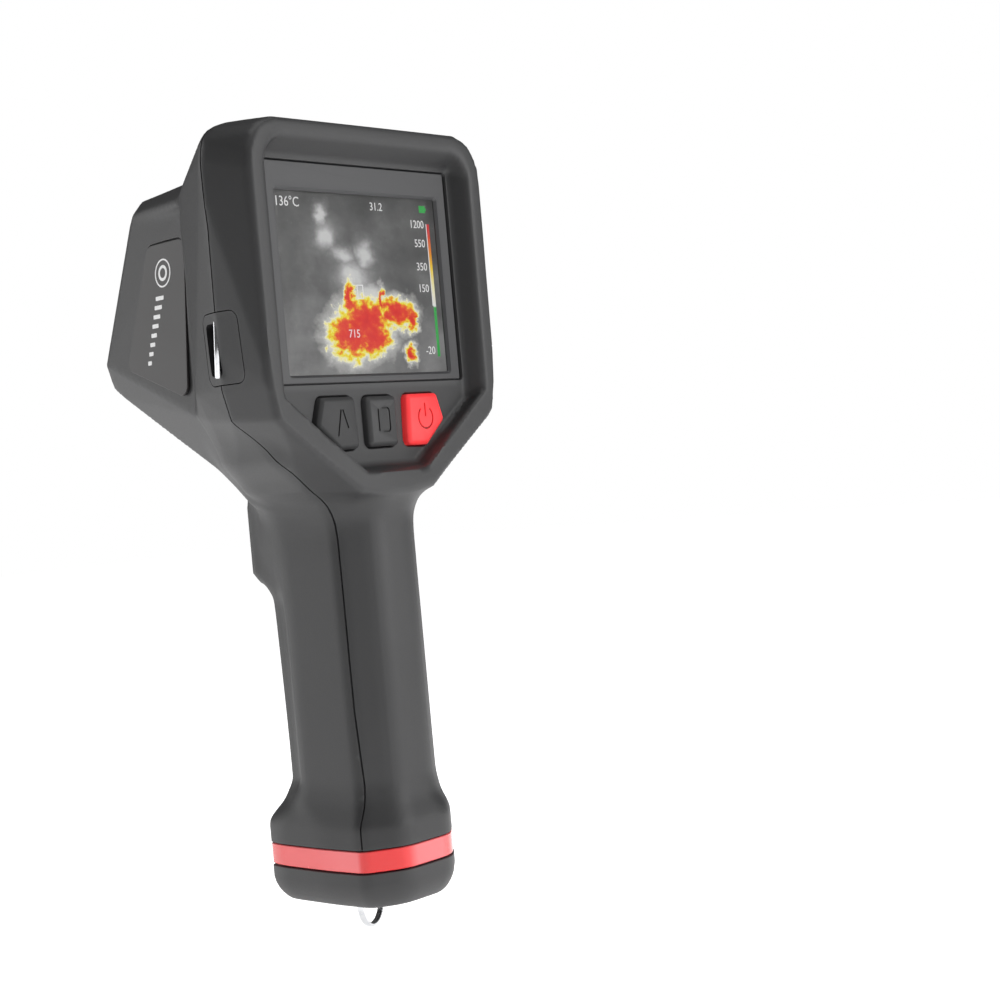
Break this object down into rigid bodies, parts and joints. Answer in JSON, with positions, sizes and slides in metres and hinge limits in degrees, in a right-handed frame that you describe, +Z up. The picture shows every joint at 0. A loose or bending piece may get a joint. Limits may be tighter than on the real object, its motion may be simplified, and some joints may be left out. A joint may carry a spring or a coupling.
{
  "type": "hand-held thermal imaging camera",
  "caption": "Pistol-grip thermal imaging camera with hooded display, keypad, infrared lens nose, trigger, card cover and lanyard ring.",
  "frame": {"origin": "on the flat underside of the grip's base, on the middle plane, 11 mm behind the lanyard pin", "axes": "+Z up along the grip, +Y forward out of the lens side, +X to the user's right; the display faces -Y"},
  "size_m": [0.1084, 0.0993, 0.2391],
  "materials": {
    "housing": "fine-textured dark grey moulded ABS",
    "insert": "smoother dark grey moulded plastic",
    "dark_plastic": "near-black moulded plastic",
    "label": "brownish grey printed film",
    "key": "dark grey keypad rubber",
    "power_key": "red keypad rubber",
    "red_band": "red reflective tape",
    "silicone": "dark silicone rubber",
    "window": "clear cover glass",
    "lens": "coated infrared lens",
    "bright_steel": "polished stainless steel",
    "gold": "gold plate",
    "alloy": "bead-blasted aluminium",
    "board": "green solder mask",
    "cell_wrap": "shrink-wrapped lithium cell",
    "card": "memory card shell"
  },
  "bodies": {
    "body": {"rear_housing": "housing", "front_housing": "housing", "base_cap": "housing", "display_bezel": "insert", "lens_bezel": "insert", "contact_plate": "insert", "signal_band": "red_band", "display_window": "window", "lens_element": "lens", "label_left": "label", "label_right": "label", "lcd_module": "dark_plastic", "lens_barrel": "dark_plastic", "shutter_motor": "dark_plastic", "strap_cup_left": "dark_plastic", "strap_cup_right": "dark_plastic", "trigger_switch": "dark_plastic", "battery_cradle": "dark_plastic", "keypad_mat": "silicone", "lens_seal": "silicone", "strap_bar_left": "bright_steel", "strap_bar_right": "bright_steel", "lanyard_pin": "bright_steel", "trigger_spring": "bright_steel", "battery_spring": "bright_steel", "board_screw_1": "bright_steel", "board_screw_2": "bright_steel", "board_screw_3": "bright_steel", "board_screw_4": "bright_steel", "chassis_frame": "alloy", "detector_core": "alloy", "card_socket": "alloy", "key_board": "board", "main_board": "board", "sensor_board": "board", "charge_contact_left": "gold", "charge_contact_right": "gold", "battery_contact": "gold", "battery_cell": "cell_wrap", "memory_card": "card"},
    "key_menu": {"key_menu": "key"},
    "key_gallery": {"key_gallery": "key"},
    "key_power": {"key_power": "power_key"},
    "trigger": {"trigger": "key"},
    "card_cover": {"card_cover": "insert"},
    "lanyard_ring": {"lanyard_ring": "bright_steel"},
    "shutter_blade": {"shutter_blade": "dark_plastic"}
  },
  "joints": [
    {"name": "key_menu_press", "type": "slide", "parent": "body", "child": "key_menu", "axis": [0, 1, 0], "range_m": [0, 0.0008], "stiffness_N_per_m": 1000},
    {"name": "key_gallery_press", "type": "slide", "parent": "body", "child": "key_gallery", "axis": [0, 1, 0], "range_m": [0, 0.0008], "stiffness_N_per_m": 1000},
    {"name": "key_power_press", "type": "slide", "parent": "body", "child": "key_power", "axis": [0, 1, 0], "range_m": [0, 0.0008], "stiffness_N_per_m": 1000},
    {"name": "trigger_pull", "type": "slide", "parent": "body", "child": "trigger", "axis": [0, -1, 0], "range_m": [0, 0.003], "stiffness_N_per_m": 700, "deforming": ["trigger_spring"]},
    {"name": "card_cover_hinge", "type": "hinge", "parent": "body", "child": "card_cover", "pos_m": [0, 0.02097, 0.21848], "axis": [-1, 0, 0], "range_deg": [0, 100]},
    {"name": "lanyard_ring_swing", "type": "hinge", "parent": "body", "child": "lanyard_ring", "pos_m": [0, 0.011, 0.0051], "axis": [0, 1, 0], "range_deg": [-18, 18]},
    {"name": "shutter_swing", "type": "hinge", "parent": "body", "child": "shutter_blade", "pos_m": [0.0125, 0.06188, 0.18287], "axis": [0, -0.9348, -0.3551], "range_deg": [0, 90], "stiffness_Nm_per_rad": 0.0005}
  ]
}
